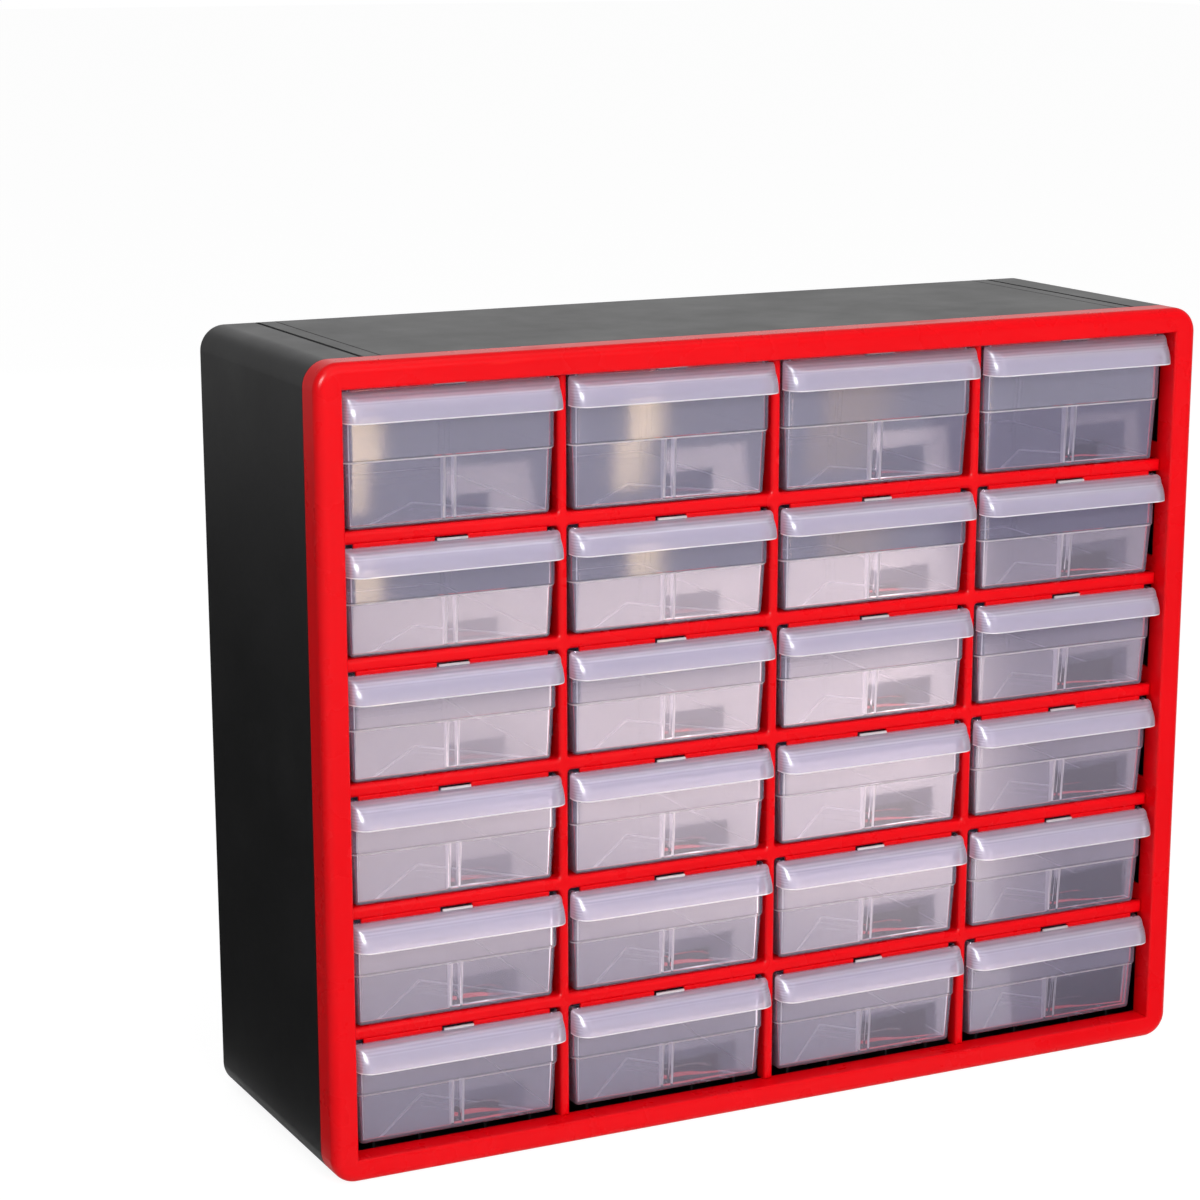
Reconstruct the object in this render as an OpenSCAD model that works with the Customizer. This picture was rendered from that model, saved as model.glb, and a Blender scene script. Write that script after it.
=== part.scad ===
// Small parts cabinet: a moulded shell, a grille frame in its open front, and a bank of drawers.
// Millimetres. X runs along the front, Y from the front to the back, and Z up.
// The origin is the middle of the footprint, on the surface that the cabinet stands on.

/* [Cabinet] */
// Width over the shell and the frame
cabinet_w = 498; // [450:1:560]
// Height from the underside to the top
cabinet_h = 406; // [370:1:450]
// Depth from the face of the frame to the back
cabinet_d = 162; // [130:1:220]
// Radius of the four long corners
corner_r = 13; // [9:0.5:17]
// Drawers in a row
columns = 4; // [3:1:5]
// Rows of drawers
rows = 6; // [4:1:7]

/* [Shell] */
// Sides, top and bottom of the shell
shell_wall = 2.4; // [1.8:0.1:3.2]
// Back panel of the shell
back_wall = 2.4; // [1.8:0.1:3.4]
// Rounding of the edges round the back
back_round = 3; // [1.5:0.5:5]
// Distance of the top and bottom grooves from the ends
groove_inset = 30; // [24:1:45]
// Width of a groove
groove_w = 2.4; // [1.5:0.1:4]
// Depth of a groove
groove_depth = 1; // [0.4:0.1:1.4]
// From a groove to the fine line beside it
fine_line_step = 10; // [6:1:16]
// Width of the fine line
fine_line_w = 0.9; // [0.5:0.1:1.5]
// Depth of the fine line
fine_line_depth = 0.4; // [0.2:0.1:0.8]
// Thickness of the runner ribs under the bottom row
floor_rib_t = 1.6; // [1.2:0.1:2.4]
// Inner pair of runner ribs, from the middle of a drawer
floor_rib_in = 18; // [12:1:26]
// Outer pair of runner ribs, from the middle of a drawer
floor_rib_out = 43; // [34:1:46]
// Depth of the ledges behind the rows
ledge_depth = 17; // [14:1:24]
// Thickness of the ledges
ledge_t = 2.2; // [1.6:0.1:3]
// Thickness of the upright ribs between the drawers' back ends
back_rib_t = 2; // [1.4:0.1:3]

/* [Wall hangers] */
// Distance between the two keyholes
keyhole_spacing = 406.4; // [300:0.2:420]
// From the top of the cabinet down to a keyhole's round entry
keyhole_drop = 62; // [40:1:120]
// Radius of the round entry, which passes the screw's head
keyhole_r = 4.5; // [3.5:0.1:6]
// Width of the slot that takes the screw's neck
keyhole_slot_w = 4.6; // [3.5:0.1:6]
// Rise from the entry to the end of the slot
keyhole_rise = 9; // [7:0.5:14]

/* [Frame] */
// Side bars of the frame, as seen from the front
side_bar = 13.5; // [11:0.5:18]
// Top bar of the frame
top_bar = 12.8; // [10:0.2:18]
// Bottom bar of the frame
bottom_bar = 12; // [10:0.5:14]
// Rounding of the frame's outer front edge
front_round = 5; // [3:0.5:7]
// Rounding of the edge round the window
window_round = 1.6; // [0.8:0.1:2]
// How far the frame wraps back to the shell's edge
frame_wrap = 17; // [14.5:0.5:24]
// Depth of the return inside the window
return_depth = 13; // [12.5:0.1:14]
// Wall of the return
return_t = 2; // [1.4:0.1:3]
// Wall of the frame
frame_wall = 2.4; // [1.8:0.1:2.8]
// Length of the tongue inside the shell
tongue_l = 7; // [4:0.5:12]
// Wall of the tongue
tongue_t = 1.6; // [1.2:0.1:2.4]
// Clearance of the tongue inside the shell
tongue_fit = 0.15; // [0.1:0.05:0.3]
// Seam between the frame and the shell
seam = 0.3; // [0.2:0.05:0.6]

/* [Grille] */
// Setback of the grille behind the face of the frame
grille_recess = 9; // [8.6:0.1:9.6]
// Depth of the rails and dividers
grille_depth = 8; // [6:0.5:14]
// Height of a rail
rail_h = 6.5; // [5.5:0.25:7.5]
// Thickness of a divider
divider_t = 5; // [4:0.25:7]
// Gap between an end cell and the side bar
end_gap = 1.2; // [0.6:0.1:4]
// Extra height of the top row
top_row_extra = 13.2; // [0:0.2:20]
// Underside of the bottom row of cells
base_z = 15.4; // [14.2:0.2:20]
// How far a stop skirt hangs below its rail
skirt_h = 3; // [2:0.1:4.5]
// Thickness of a skirt
skirt_t = 1.8; // [1.2:0.1:2.6]
// Gap at each end of a skirt, which passes the drawer's sides
skirt_end = 6; // [5.5:0.25:9]
// Notch in the middle of a skirt, which passes a lengthwise partition
skirt_notch = 17; // [10:0.5:24]
// Length of a runner behind the return
runner_l = 57; // [40:1:80]
// Thickness of a runner's fin and of its wings
runner_t = 2.2; // [1.4:0.1:3]
// Height of a fin above the rail
fin_h = 8.5; // [5:0.5:12]
// How far a wing reaches under a drawer
wing_w = 11; // [8:0.5:16]

/* [Drawers] */
// Setback of a drawer's front wall behind the face of the frame
drawer_recess = 7.5; // [7:0.1:7.9]
// Space behind a drawer
rear_gap = 9.6; // [3:0.2:12]
// Clearance between a drawer's rim and the divider
side_clear = 1.05; // [0.6:0.05:2]
// Clearance under a drawer
rest_gap = 0.3; // [0.2:0.05:0.8]
// Clearance between a drawer's rim and the rail above
rim_gap = 1.2; // [0.8:0.1:1.6]
// Walls of a drawer
drawer_wall = 1.4; // [1:0.1:1.9]
// Floor of a drawer
drawer_floor = 1.5; // [1:0.1:2.2]
// Upright corners of a drawer's rim
drawer_corner_r = 5.2; // [5:0.1:7]
// Rounding where the walls meet the floor
heel_r = 2; // [1.2:0.1:2.2]
// How far the band above the shoulder leans in
band_draft = 0.2; // [0.05:0.05:0.4]
// Step at the shoulder
shoulder_step = 0.9; // [0.5:0.1:1.1]
// Rise of the step
shoulder_rise = 0.8; // [0.4:0.1:1.5]
// How far the walls lean in from the shoulder to the floor
body_draft = 1.6; // [0.8:0.1:1.8]
// Height of the shoulder of a standard drawer
shoulder_h = 26; // [20:0.5:32]
// Height of the shoulder of a top-row drawer
tall_shoulder_h = 32; // [24:0.5:40]

/* [Handle lip] */
// Height of the lip of a standard drawer
lip_h = 13; // [11:0.5:18]
// Height of the lip of a top-row drawer
tall_lip_h = 15; // [11:0.5:20]
// Reach of the lip in front of the drawer
lip_reach = 10.5; // [9:0.25:11]
// How far the lip runs past the rim at each end
lip_overhang = 1.05; // [0.4:0.05:1.4]
// Corners of the lip, seen from above
lip_corner_r = 8; // [5:0.25:9]
// Wall of the lip
lip_t = 1.4; // [1:0.1:2]

/* [Drawer inside] */
// Thickness of the ribs that hold a partition
slot_rib_t = 1.4; // [1:0.1:2]
// Gap between the two ribs
slot_gap = 4.2; // [2:0.1:6]
// How far the ribs stand out of the wall
slot_rib_depth = 2.6; // [1.5:0.1:4]
// Width of the bead on the floor
bead_w = 1.4; // [0.8:0.1:2.4]
// Height of the bead on the floor
bead_h = 0.5; // [0.3:0.05:1]
// Ends of the bead, from the middle of the drawer
bead_foot = 41; // [30:1:44]
// Point of the bead, from the end of the drawer
bead_tip = 50; // [35:1:58]

/* [Hidden] */
$fn = 48;
plastic_black = [0.11, 0.11, 0.12];
plastic_red = [0.9, 0.05, 0.08];
plastic_clear = [0.78, 0.77, 0.83];

// Depths below are measured from the face of the frame, which stands at face_y
lip_proud = lip_reach - drawer_recess;
face_y = (lip_proud - cabinet_d) / 2;
window_w = cabinet_w - 2 * side_bar;
window_top = cabinet_h - top_bar;
cell_w = (window_w - 2 * end_gap - (columns - 1) * divider_t) / columns;
cell_h = (window_top - base_z - (rows - 1) * rail_h - top_row_extra) / rows;
pitch_x = cell_w + divider_t;
pitch_z = cell_h + rail_h;
grille_back = grille_recess + grille_depth;
runner_back = return_depth + runner_l;
skirt_y = drawer_recess + drawer_wall + rest_gap;
shell_front = frame_wrap + seam;
shell_back = cabinet_d - back_wall;
tongue_back = shell_front + tongue_l;
tongue_in = shell_wall + tongue_fit;
// A divider's nose stands this far behind the rails' noses, which run across it
divider_setback = 0.4;

drawer_w = cell_w - 2 * side_clear;
drawer_l = shell_back - rear_gap - drawer_recess;
lip_half = drawer_w / 2 + lip_overhang;
lip_front = drawer_recess - lip_reach;
lip_back = drawer_recess + 0.85 * drawer_wall;

function drawer_name(r, c) = str("drawer_r", r, "_c", c);
// Middle of a column, counted from the left
function column_x(c) = (c - (columns + 1) / 2) * pitch_x;
// Middle of the divider to the right of a column
function divider_x(c) = (c - columns / 2) * pitch_x;
// Underside of a row's cells, with row 1 at the top
function row_z(r) = base_z + (rows - r) * pitch_z;
// Height of a row's cells
function row_h(r) = cell_h + (r == 1 ? top_row_extra : 0);

// ---- Shapes that the pieces share ----

// A bar from x0 to x1, with its section drawn in Y and Z
module along_x(x0, x1) {
    translate([x0, 0, 0]) rotate([90, 0, 90]) linear_extrude(x1 - x0) children();
}

// A box between two corners
module box(from, to) {
    translate(from) cube(to - from);
}

// What a rounding takes off a corner that points to +x and +y, with its tip at the origin
module round_off(r) {
    translate([-r, -r]) difference() {
        square(r + 1);
        circle(r);
    }
}

// Carries a section round a rectangle whose corners have their centres w and l apart.
// The section is drawn as the distance out from those centres against height.
module swept(w, l) {
    for (k = [0:3]) {
        a = k % 2 == 0 ? w : l;
        b = k % 2 == 0 ? l : w;
        rotate([0, 0, 90 * k]) translate([a / 2, b / 2, 0]) {
            rotate_extrude(angle = 90) children();
            rotate([90, 0, 0]) linear_extrude(b) children();
        }
    }
}

// The cabinet's outline from y0 to y1, drawn in by a margin, with its two edges rounded
module slab(y0, y1, margin = 0, front = 0, back = 0) {
    w = cabinet_w - 2 * corner_r;
    h = cabinet_h - 2 * corner_r;
    r = corner_r - margin;
    translate([0, 0, cabinet_h / 2]) mirror([0, 1, 0]) rotate([90, 0, 0]) {
        translate([-w / 2, -h / 2, y0]) cube([w, h, y1 - y0]);
        swept(w, h) difference() {
            translate([0, y0]) square([r, y1 - y0]);
            if (front > 0) translate([r, y0]) mirror([0, 1]) round_off(front);
            if (back > 0) translate([r, y1]) round_off(back);
        }
    }
}

// ---- Shell ----

module keyhole() {
    translate([0, cabinet_d + 1, 0]) rotate([90, 0, 0]) {
        cylinder(h = back_wall + 2, r = keyhole_r);
        translate([0, keyhole_rise, 0]) cylinder(h = back_wall + 2, d = keyhole_slot_w);
        translate([-keyhole_slot_w / 2, 0, 0]) cube([keyhole_slot_w, keyhole_rise, back_wall + 2]);
    }
}

// Grooves that run from front to back in the top and the underside
module grooves() {
    for (s = [-1, 1]) {
        main = s * (cabinet_w / 2 - groove_inset);
        fine = main - s * fine_line_step;
        for (z = [-1, cabinet_h - groove_depth])
            box([main - groove_w / 2, 0, z], [main + groove_w / 2, cabinet_d + 1, z + groove_depth + 1]);
        box([fine - fine_line_w / 2, 0, cabinet_h - fine_line_depth],
            [fine + fine_line_w / 2, cabinet_d + 1, cabinet_h + 1]);
    }
}

// Low runners that the bottom row slides on, lifted at the front to clear the frame's tongue
module floor_ribs() {
    lift = tongue_in + tongue_t + 0.6;
    for (c = [1:columns], s = [-1, 1], x = [floor_rib_in, floor_rib_out])
        along_x(column_x(c) + s * x - floor_rib_t / 2, column_x(c) + s * x + floor_rib_t / 2)
            polygon([
                [shell_front + 0.7, lift], [shell_front + 0.7, base_z], [shell_back + 1, base_z],
                [shell_back + 1, shell_wall - 1], [tongue_back + 1, shell_wall - 1], [tongue_back + 1, lift]
            ]);
}

// Ledges and upright ribs on the back panel, which hold and part the drawers' back ends
module back_grid() {
    x = cabinet_w / 2 - shell_wall + 1;
    y = shell_back - ledge_depth;
    for (r = [1:rows - 1])
        box([-x, y, row_z(r) - ledge_t], [x, shell_back + 1, row_z(r)]);
    for (c = [1:columns - 1])
        box([divider_x(c) - back_rib_t / 2, y + 1, shell_wall - 1],
            [divider_x(c) + back_rib_t / 2, shell_back + 1, cabinet_h - shell_wall + 1]);
}

module cabinet_shell() {
    color(plastic_black) translate([0, face_y, 0]) {
        difference() {
            union() {
                difference() {
                    slab(shell_front, cabinet_d, back = back_round);
                    slab(shell_front - 1, shell_back, shell_wall, back = 1);
                }
                floor_ribs();
                back_grid();
            }
            grooves();
            for (s = [-1, 1])
                translate([s * keyhole_spacing / 2, 0, cabinet_h - keyhole_drop]) keyhole();
        }
    }
}

// ---- Frame ----

// The bezel: a channel with a rounded front, a window with a return, and a tongue for the shell
module bezel() {
    difference() {
        union() {
            difference() {
                slab(0, frame_wrap, front = front_round);
                slab(frame_wall, frame_wrap + 1, frame_wall, front = front_round - frame_wall);
            }
            box([-window_w / 2 - return_t, 1, bottom_bar - return_t],
                [window_w / 2 + return_t, return_depth, window_top + return_t]);
            difference() {
                union() {
                    slab(frame_wrap - 3, frame_wrap, 1);
                    slab(frame_wrap - 3, tongue_back, tongue_in);
                }
                slab(frame_wrap - 4, tongue_back + 1, tongue_in + tongue_t);
            }
        }
        window();
    }
}

// The opening, flared at the face so that its edges are rounded and meet in mitres
module window() {
    h = window_top - bottom_bar;
    intersection() {
        translate([0, 0, bottom_bar - 5]) linear_extrude(h + 10) flare(window_w);
        translate([0, 0, bottom_bar + h / 2]) along_x(-window_w / 2 - 5, window_w / 2 + 5)
            mirror([1, -1]) flare(h);
    }
}

// Section of the opening: its width along x, and its depth along y
module flare(w) {
    r = window_round;
    translate([-w / 2, -1]) square([w, return_depth + 2]);
    for (s = [0, 1]) mirror([s, 0])
        difference() {
            translate([w / 2 - 0.5, -1]) square([r + 0.5, r + 1]);
            translate([w / 2 + r, r]) circle(r);
        }
}

// A round nose that points to -x, with a flat-sided body behind it
module nose(r, run) {
    intersection() {
        circle(r);
        translate([-r - 1, -r - 1]) square([r + 1, 2 * r + 2]);
    }
    translate([0, -r]) square([run, 2 * r]);
}

// A quarter ball that rounds the end of a nose
module nose_end(r) {
    rotate_extrude(angle = 90) intersection() {
        circle(r);
        translate([0, -r - 1]) square([r + 1, 2 * r + 2]);
    }
}

// A rail across the window, with its top at z
module rail(z) {
    r = rail_h / 2;
    x = window_w / 2 - r;
    y = grille_recess + r;
    translate([0, y, z - r]) {
        along_x(-x, x) nose(r, grille_back - y);
        translate([x, 0, 0]) rotate([0, 0, -90]) nose_end(r);
        translate([-x, 0, 0]) rotate([0, 0, 180]) nose_end(r);
        box([-window_w / 2 - return_t / 2, 0, -r], [window_w / 2 + return_t / 2, grille_back - y, r]);
    }
}

// An upright divider at x
module divider(x) {
    r = divider_t / 2;
    y = grille_recess + divider_setback + r;
    z0 = bottom_bar + r;
    z1 = window_top - r;
    translate([x, y, 0]) {
        translate([0, 0, z0]) linear_extrude(z1 - z0) rotate(90) nose(r, grille_back - y);
        translate([0, 0, z1]) rotate([180, 0, 0]) rotate([0, 90, 0]) nose_end(r);
        translate([0, 0, z0]) rotate([-90, 0, 0]) rotate([0, 90, 0]) nose_end(r);
        box([-r, 0, bottom_bar - return_t / 2], [r, grille_back - y, window_top + return_t / 2]);
    }
}

// The skirt that hangs in a cell's mouth and stops its drawer, in two parts beside the notch
module skirt(r, c) {
    top = row_z(r) + row_h(r);
    for (s = [0, 1])
        translate([column_x(c), 0, 0]) mirror([s, 0, 0])
            box([skirt_notch / 2, skirt_y, top - skirt_h],
                [cell_w / 2 - skirt_end, skirt_y + skirt_t, top + (r == 1 ? return_t / 2 : rail_h / 2)]);
}

// A runner behind a divider: an upright fin between two drawers, and wings under both
module runner(x, z) {
    box([x - runner_t / 2, grille_back - 1, z - runner_t], [x + runner_t / 2, runner_back, z + fin_h]);
    box([x - divider_t / 2 - wing_w, grille_back - 1, z - runner_t], [x + divider_t / 2 + wing_w, runner_back, z]);
}

// The runner at the right-hand end of a row, which carries the return on backwards
module end_runner(z) {
    x = window_w / 2;
    box([x, return_depth - 1, z - runner_t], [x + return_t, runner_back, z + fin_h]);
    box([x - end_gap - wing_w, grille_back - 1, z - runner_t], [x + return_t, runner_back, z]);
}

module front_frame() {
    color(plastic_red) translate([0, face_y, 0]) {
        bezel();
        for (c = [1:columns - 1]) divider(divider_x(c));
        for (r = [1:rows - 1]) {
            rail(row_z(r));
            for (c = [1:columns - 1]) runner(divider_x(c), row_z(r));
            for (s = [0, 1]) mirror([s, 0, 0]) end_runner(row_z(r));
        }
        for (r = [1:rows], c = [1:columns]) skirt(r, c);
    }
}

// ---- Drawers ----

// Section of a drawer's walls from z0 to z1, drawn in by the thickness of the wall for its inside
module tub_section(h, shoulder, inset, z0, z1) {
    rim = drawer_corner_r - inset;
    band = rim - band_draft;
    body = band - shoulder_step;
    foot = body - body_draft;
    heel = max(heel_r - inset, 0.5);
    step_z = shoulder + 0.42 * inset;
    polygon(concat(
        [[0, z0]],
        [for (a = [-90:30:0]) [foot - heel + heel * cos(a), z0 + heel + heel * sin(a)]],
        [[body, step_z], [band, step_z + shoulder_rise], [rim, h]],
        z1 > h ? [[rim, z1]] : [],
        [[0, z1]]
    ));
}

module tub(h, shoulder, inset, z0, z1) {
    w = drawer_w - 2 * drawer_corner_r;
    l = drawer_l - 2 * drawer_corner_r;
    translate([0, drawer_recess + drawer_l / 2, 0]) {
        translate([-w / 2, -l / 2, z0]) cube([w, l, z1 - z0]);
        swept(w, l) tub_section(h, shoulder, inset, z0, z1);
    }
}

// What the inside keeps at one end: the pair of ribs and the pointed bead on the floor
module end_fittings(shoulder) {
    reach = drawer_wall + shoulder_step + body_draft + band_draft + slot_rib_depth;
    for (s = [-1, 1])
        translate([s * (slot_gap + slot_rib_t) / 2 - slot_rib_t / 2, 0, 0])
            cube([slot_rib_t, reach, shoulder]);
    linear_extrude(drawer_floor + bead_h) polygon([
        [-bead_foot - bead_w, 0], [0, bead_tip + bead_w], [bead_foot + bead_w, 0],
        [bead_foot, 0], [0, bead_tip], [-bead_foot, 0]
    ]);
}

// The form of the lip, drawn in by a margin: a round visor with rounded ends, open underneath
module lip_form(h, lip, margin) {
    half = lip_half - margin;
    r = lip_corner_r - margin;
    front = lip_front + margin;
    back = lip_back + (margin > 0 ? 1 : 0);
    under = h - lip - (margin > 0 ? 1 : 0);
    intersection() {
        along_x(-half, half) intersection() {
            translate([lip_front + lip, h - lip]) circle(lip - margin);
            translate([front - 1, under]) square([back - front + 1, lip + 2]);
        }
        translate([0, 0, under]) linear_extrude(lip + 2) difference() {
            translate([-half, front]) square([2 * half, back - front]);
            for (s = [0, 1]) mirror([s, 0]) translate([half, front]) mirror([0, 1]) round_off(r);
        }
    }
}

module drawer(r, c) {
    h = row_h(r) - rest_gap - rim_gap;
    shoulder = r == 1 ? tall_shoulder_h : shoulder_h;
    lip = r == 1 ? tall_lip_h : lip_h;
    color(plastic_clear) translate([column_x(c), face_y, row_z(r) + rest_gap]) {
        difference() {
            tub(h, shoulder, 0, 0, h);
            difference() {
                tub(h, shoulder, drawer_wall, drawer_floor, h + 1);
                translate([0, drawer_recess, 0]) end_fittings(shoulder);
                translate([0, drawer_recess + drawer_l, 0]) mirror([0, 1, 0]) end_fittings(shoulder);
            }
        }
        difference() {
            lip_form(h, lip, 0);
            lip_form(h, lip, lip_t);
        }
    }
}

cabinet_shell();
front_frame();
for (r = [1:rows]) for (c = [1:columns])
    drawer(r, c);
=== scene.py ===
from math import acos, cos, pi, radians, sin, sqrt

import bmesh
import bpy
from mathutils import Matrix, Vector


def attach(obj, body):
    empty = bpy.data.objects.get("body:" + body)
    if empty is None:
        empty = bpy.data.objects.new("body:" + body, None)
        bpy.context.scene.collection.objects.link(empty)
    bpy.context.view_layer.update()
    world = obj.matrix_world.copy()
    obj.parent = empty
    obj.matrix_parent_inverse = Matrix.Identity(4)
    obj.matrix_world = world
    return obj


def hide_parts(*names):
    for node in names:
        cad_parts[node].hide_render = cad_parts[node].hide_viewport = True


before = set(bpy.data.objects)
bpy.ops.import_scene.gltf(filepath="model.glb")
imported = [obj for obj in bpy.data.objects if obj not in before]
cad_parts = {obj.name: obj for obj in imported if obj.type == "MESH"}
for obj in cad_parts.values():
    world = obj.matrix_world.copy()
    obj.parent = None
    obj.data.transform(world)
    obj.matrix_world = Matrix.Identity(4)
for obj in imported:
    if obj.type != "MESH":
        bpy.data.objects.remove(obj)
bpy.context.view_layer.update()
bpy.ops.object.select_all(action="DESELECT")
print("frame loaded")

# sizes are in millimetres, and depths run back from the face of the bezel
cabinet = {
    "width": 498, "height": 406, "depth": 162, "faceY": -79.5, "corner": 13, "cornerSteps": 14,
    "frontRound": 5, "frontSteps": 7, "backRound": 3, "backSteps": 5, "wrap": 17, "seam": 0.3,
}
window = {"half": 235.5, "bottom": 12, "top": 393.2, "round": 1.6, "roundSteps": 4, "returnDepth": 13}
cells = {
    "columns": 4, "rows": 6, "width": 113.4, "height": 55.35, "topExtra": 13.2,
    "base": 15.4, "divider": 5, "rail": 6.5,
}
allColumns, allRows = range(1, cells["columns"] + 1), range(1, cells["rows"] + 1)
# a divider stands on the right of each inner column, and a rail lies under each inner row
innerColumns, innerRows = allColumns[:-1], allRows[:-1]

weld = 0.002  # points nearer than this become one
closeBy = 0.01  # a place this near to another is the same place
slack = 0.1  # room round a region, for what lies on its edge
endReach = 1  # room at the end of a bar, for what belongs to its end
sharp = 1.2  # an edge that turns by more than this, in radians, is a corner


def columnX(column):
    return (column - (cells["columns"] + 1) / 2) * (cells["width"] + cells["divider"])


def dividerX(column):
    return (column - cells["columns"] / 2) * (cells["width"] + cells["divider"])


def rowZ(row):
    return cells["base"] + (cells["rows"] - row) * (cells["height"] + cells["rail"])


def rowHeight(row):
    return cells["height"] + (cells["topExtra"] if row == 1 else 0)


def place(x, depth, z):
    return Vector((x, depth + cabinet["faceY"], z)) / 1000


def spot(point):
    # place, the other way round
    return point.x * 1000, point.y * 1000 - cabinet["faceY"], point.z * 1000


def choose(piece):
    bpy.ops.object.select_all(action="DESELECT")
    piece.select_set(True)
    bpy.context.view_layer.objects.active = piece


def settle(name, scale=(1, 1, 1)):
    piece = bpy.context.object
    piece.name = piece.data.name = name
    piece.scale = scale
    bpy.ops.object.transform_apply(location=True, rotation=True, scale=True)
    return piece


def startPlane(name, width, length, x, depth, z, upright=False):
    bpy.ops.object.select_all(action="DESELECT")
    turn = (pi / 2, 0, 0) if upright else (0, 0, 0)
    bpy.ops.mesh.primitive_plane_add(size=1, location=place(x, depth, z), rotation=turn)
    return settle(name, (width / 1000, length / 1000, 1))


def startOutline(name, points):
    # a filled ring whose corners are set to the given places
    bpy.ops.object.select_all(action="DESELECT")
    bpy.ops.mesh.primitive_circle_add(vertices=len(points), radius=1, fill_type="NGON")
    piece = settle(name)
    for corner, point in zip(piece.data.vertices, points):
        corner.co = place(*point)
    return piece


def openEdit(piece):
    choose(piece)
    bpy.ops.object.mode_set(mode="EDIT")


def closeEdit():
    bpy.ops.mesh.select_all(action="SELECT")
    bpy.ops.mesh.remove_doubles(threshold=weld / 1000)
    bpy.ops.mesh.normals_make_consistent(inside=False)
    bpy.ops.object.mode_set(mode="OBJECT")


def pick(kind, test):
    # selects each vertex, edge or face whose middle passes the test
    bpy.ops.mesh.select_mode(type=kind)
    bpy.ops.mesh.select_all(action="DESELECT")
    mesh = bmesh.from_edit_mesh(bpy.context.object.data)
    parts = {"VERT": mesh.verts, "EDGE": mesh.edges, "FACE": mesh.faces}[kind]
    for part in parts:
        if kind == "VERT":
            middle = part.co
        elif kind == "EDGE":
            middle = (part.verts[0].co + part.verts[1].co) / 2
        else:
            middle = part.calc_center_median()
        if test(*spot(middle), part):
            part.select_set(True)
    bmesh.update_edit_mesh(bpy.context.object.data)


def everything(x, depth, z, part):
    return True


def isCorner(edge):
    # an edge without two faces has no angle, and is no corner
    return edge.calc_face_angle(0) > sharp


def moveBy(x, y, z):
    bpy.ops.transform.translate(value=(x / 1000, y / 1000, z / 1000))


def extrudeBy(x, y, z):
    travel = {"value": (x / 1000, y / 1000, z / 1000)}
    bpy.ops.mesh.extrude_region_move(TRANSFORM_OT_translate=travel)


def stepIn(inset, drop):
    # draws the selected face in, then moves it up or down
    if inset > 0:
        bpy.ops.mesh.inset(thickness=inset / 1000, depth=0)
        if drop:
            moveBy(0, 0, drop)
    else:
        extrudeBy(0, 0, drop)


def roundEdges(width, segments, kind="EDGES"):
    bpy.ops.mesh.bevel(
        offset=width / 1000, segments=segments, affect=kind, profile=0.5, clamp_overlap=False,
    )


def cutAt(x=None, z=None):
    # a straight cut across everything
    bpy.ops.mesh.select_mode(type="FACE")
    bpy.ops.mesh.select_all(action="SELECT")
    if x is not None:
        bpy.ops.mesh.bisect(plane_co=place(x, 0, 0), plane_no=(1, 0, 0))
    else:
        bpy.ops.mesh.bisect(plane_co=place(0, 0, z), plane_no=(0, 0, 1))


def useModifier(piece, kind, **settings):
    choose(piece)
    modifier = piece.modifiers.new(kind.title(), kind)
    for key, value in settings.items():
        setattr(modifier, key, value)
    bpy.ops.object.modifier_apply(modifier=modifier.name)


def softenEdges(piece, width, segments=2, angle=40):
    useModifier(
        piece, "BEVEL", width=width / 1000, segments=segments, limit_method="ANGLE",
        angle_limit=radians(angle), use_clamp_overlap=True,
    )


def thicken(piece, wall, **settings):
    # adds a wall behind the outer face
    useModifier(piece, "SOLIDIFY", thickness=wall / 1000, offset=-1, use_even_offset=True, **settings)


def fuse(piece, other):
    useModifier(piece, "BOOLEAN", operation="UNION", solver="EXACT", object=other)
    bpy.data.objects.remove(other)


def carve(piece, cutter):
    useModifier(piece, "BOOLEAN", operation="DIFFERENCE", solver="EXACT", object=cutter)
    bpy.data.objects.remove(cutter)


def joinPieces(name, parts):
    choose(parts[0])
    for part in parts[1:]:
        part.select_set(True)
    bpy.ops.object.join()
    parts[0].name = parts[0].data.name = name
    return parts[0]


def copyPiece(piece, name, x=0, y=0, z=0, flip=False):
    twin = piece.copy()
    twin.data = piece.data.copy()
    twin.name = twin.data.name = name
    bpy.context.scene.collection.objects.link(twin)
    if flip:
        twin.data.transform(Matrix.Scale(-1, 4, (1, 0, 0)))
        twin.data.flip_normals()
    twin.data.transform(Matrix.Translation(Vector((x, y, z)) / 1000))
    return twin


def makeBar(name, outline, along, soft=0):
    # an outline drawn out into a bar, with soft edges where soft gives a width
    bar = startOutline(name, outline)
    openEdit(bar)
    pick("FACE", everything)
    extrudeBy(*along)
    closeEdit()
    if soft:
        softenEdges(bar, soft)
    return bar


def smooth(piece, angle=35):
    choose(piece)
    bpy.ops.object.shade_smooth_by_angle(angle=radians(angle))
    # large faces stay flat in the light, and only the narrow ones beside them turn
    useModifier(piece, "WEIGHTED_NORMAL", keep_sharp=True, weight=100)


class Wire:
    # the output of a node, which can be added, subtracted and multiplied
    def __init__(self, paint, socket):
        self.paint, self.socket = paint, socket

    def __add__(self, other):
        return self.paint.sums("ADD", self, other)

    def __sub__(self, other):
        return self.paint.sums("SUBTRACT", self, other)

    def __rsub__(self, other):
        return self.paint.sums("SUBTRACT", other, self)

    def __mul__(self, other):
        return self.paint.sums("MULTIPLY", self, other)


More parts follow.
